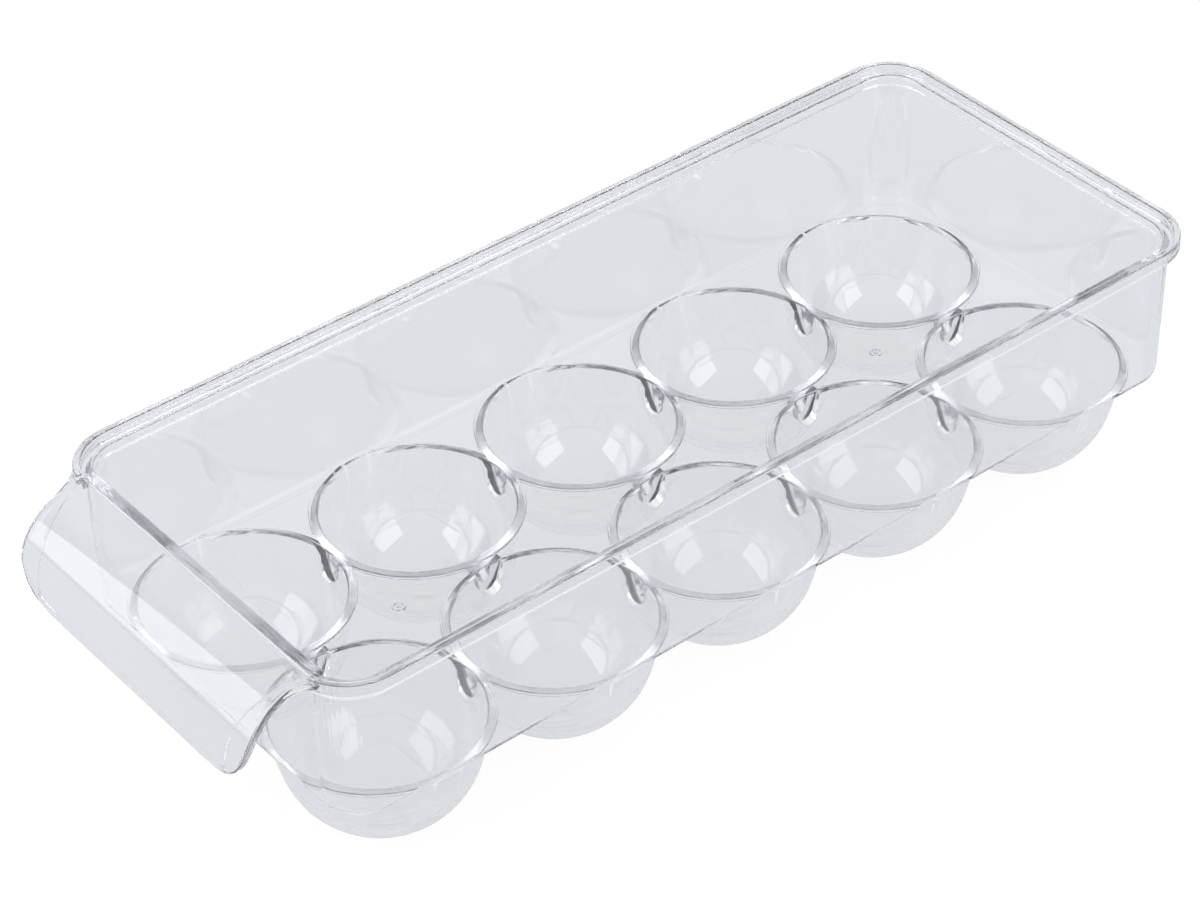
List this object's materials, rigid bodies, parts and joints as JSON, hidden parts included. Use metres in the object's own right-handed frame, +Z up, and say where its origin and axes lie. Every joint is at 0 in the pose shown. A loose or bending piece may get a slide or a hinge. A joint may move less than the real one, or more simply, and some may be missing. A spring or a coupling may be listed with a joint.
{
  "type": "egg tray",
  "caption": "Clear one-piece egg tray for a refrigerator: open bin with near-upright walls, stepped rim, bowl-shaped egg cups hanging below its deck and a scooped front handle",
  "frame": {"origin": "centre of the footprint, handle included, on the plane that the cup feet stand on", "axes": "+X along the tray away from the handle, +Y across it to its left side, +Z up"},
  "size_m": [0.2786, 0.1112, 0.0698],
  "materials": {
    "clear_plastic": "polished clear"
  },
  "bodies": {
    "root": {"deck": "clear_plastic", "mouth_rings_left": "clear_plastic", "mouth_rings_right": "clear_plastic", "egg_cup_left_1": "clear_plastic", "egg_cup_left_2": "clear_plastic", "egg_cup_left_3": "clear_plastic", "egg_cup_left_4": "clear_plastic", "egg_cup_left_5": "clear_plastic", "egg_cup_right_1": "clear_plastic", "egg_cup_right_2": "clear_plastic", "egg_cup_right_3": "clear_plastic", "egg_cup_right_4": "clear_plastic", "egg_cup_right_5": "clear_plastic", "cup_webs_left": "clear_plastic", "cup_webs_middle": "clear_plastic", "cup_webs_right": "clear_plastic", "left_wall": "clear_plastic", "right_wall": "clear_plastic", "front_wall": "clear_plastic", "rear_wall": "clear_plastic", "corner_front_left": "clear_plastic", "corner_front_right": "clear_plastic", "corner_rear_left": "clear_plastic", "corner_rear_right": "clear_plastic", "rim_left": "clear_plastic", "rim_right": "clear_plastic", "rim_rear": "clear_plastic", "rim_corner_front_left": "clear_plastic", "rim_corner_front_right": "clear_plastic", "rim_corner_rear_left": "clear_plastic", "rim_corner_rear_right": "clear_plastic", "front_sill": "clear_plastic", "handle_grip": "clear_plastic", "handle_end_left": "clear_plastic", "handle_end_right": "clear_plastic"}
  },
  "joints": []
}
